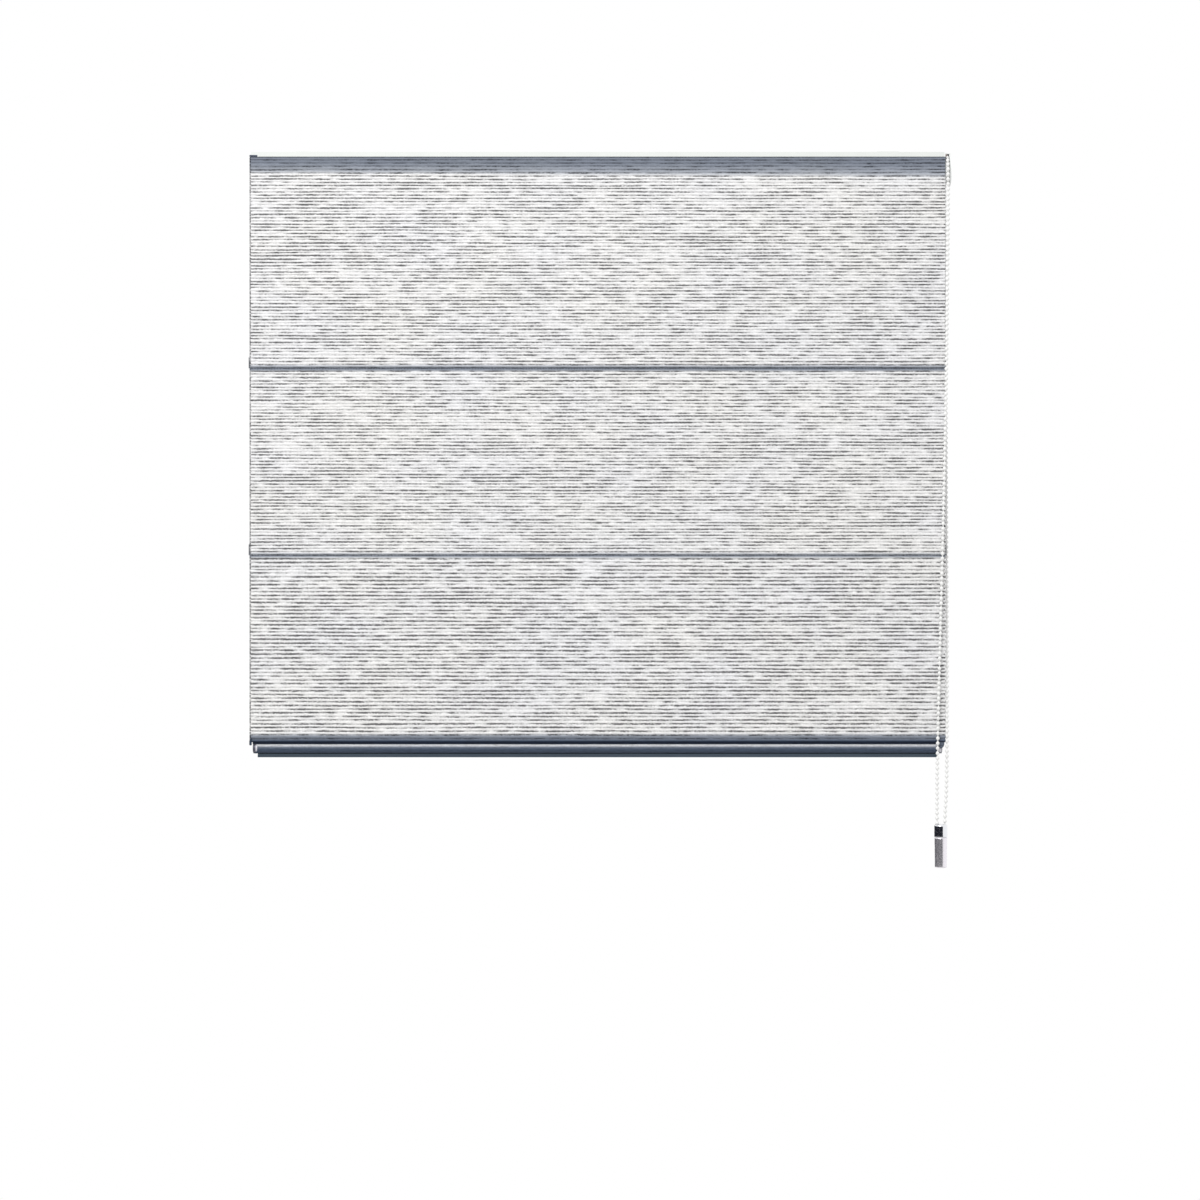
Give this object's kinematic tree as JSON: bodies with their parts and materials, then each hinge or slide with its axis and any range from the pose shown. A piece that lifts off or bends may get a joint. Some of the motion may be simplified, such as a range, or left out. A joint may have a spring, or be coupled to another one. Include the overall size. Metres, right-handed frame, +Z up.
{
  "type": "roman blind with chain control",
  "caption": "Flat roman blind: ribbed white cloth in sections between stiffened seams, rolled hem with a metal bar, headrail with a bead chain wheel, and a chromed chain weight.",
  "frame": {"origin": "middle of the wall screws' line, on the back face of the brackets, where they meet the wall", "axes": "+X to the right seen from the room, +Y towards the wall, +Z up"},
  "size_m": [0.8452, 0.0477, 0.8614],
  "materials": {
    "weave": "woven slub, white",
    "rail_paint": "white powder coat",
    "bracket_paint": "white powder coat",
    "moulding": "white, fine texture",
    "shaft_steel": "zinc plated",
    "batten_metal": "mill finish",
    "bar_metal": "satin anodised",
    "cord": "braided polyester, white",
    "strip": "hook and loop, white",
    "bead": "white",
    "chrome": "polished",
    "satin_metal": "satin"
  },
  "bodies": {
    "mounted": {"headrail": "rail_paint", "bracket_left": "bracket_paint", "bracket_right": "bracket_paint", "hook_strip": "strip", "loop_strip": "strip", "end_cap": "moulding", "control_base": "moulding", "control_cover": "moulding", "drum_cradle_1": "moulding", "drum_cradle_2": "moulding", "cord_grommets": "moulding", "fabric_top": "weave", "lift_cords": "cord", "chain_cord": "cord", "chain_beads": "bead", "weight_cap": "chrome", "weight_body": "satin_metal"},
    "drive": {"drive_shaft": "shaft_steel", "shaft_bush": "moulding", "cord_drums": "moulding", "chain_wheel": "moulding"},
    "batten_1": {"batten_pocket_1": "weave", "batten_bar_1": "batten_metal", "batten_tips_1": "moulding", "cord_eyelets_1": "moulding", "fabric_middle": "weave"},
    "batten_2": {"batten_pocket_2": "weave", "batten_bar_2": "batten_metal", "batten_tips_2": "moulding", "cord_eyelets_2": "moulding", "fabric_bottom": "weave"},
    "bottom": {"bottom_hem": "weave", "bottom_bar": "bar_metal", "bar_plugs": "moulding", "cord_anchors": "moulding"}
  },
  "joints": [
    {"name": "lift_1", "type": "slide", "parent": "mounted", "child": "batten_1", "axis": [0, 0, 1], "range_m": [0, 0.205], "deforming": ["fabric_top", "lift_cords"]},
    {"name": "lift_2", "type": "slide", "parent": "batten_1", "child": "batten_2", "axis": [0, 0, 1], "range_m": [0, 0.205], "deforming": ["fabric_middle"]},
    {"name": "lift_3", "type": "slide", "parent": "batten_2", "child": "bottom", "axis": [0, 0, 1], "range_m": [0, 0.205], "deforming": ["fabric_bottom"]},
    {"name": "drive_turn", "type": "hinge", "parent": "mounted", "child": "drive", "pos_m": [0, -0.02261, -0.00924], "axis": [-1, 0, 0], "range_deg": [0, 6480], "deforming": ["chain_beads", "chain_cord"]}
  ],
  "couplings": [
    {"joint": "lift_2", "follows": "lift_1", "ratio": 1},
    {"joint": "lift_3", "follows": "lift_1", "ratio": 1},
    {"joint": "drive_turn", "follows": "lift_1", "rad_per_m": 551.69}
  ]
}
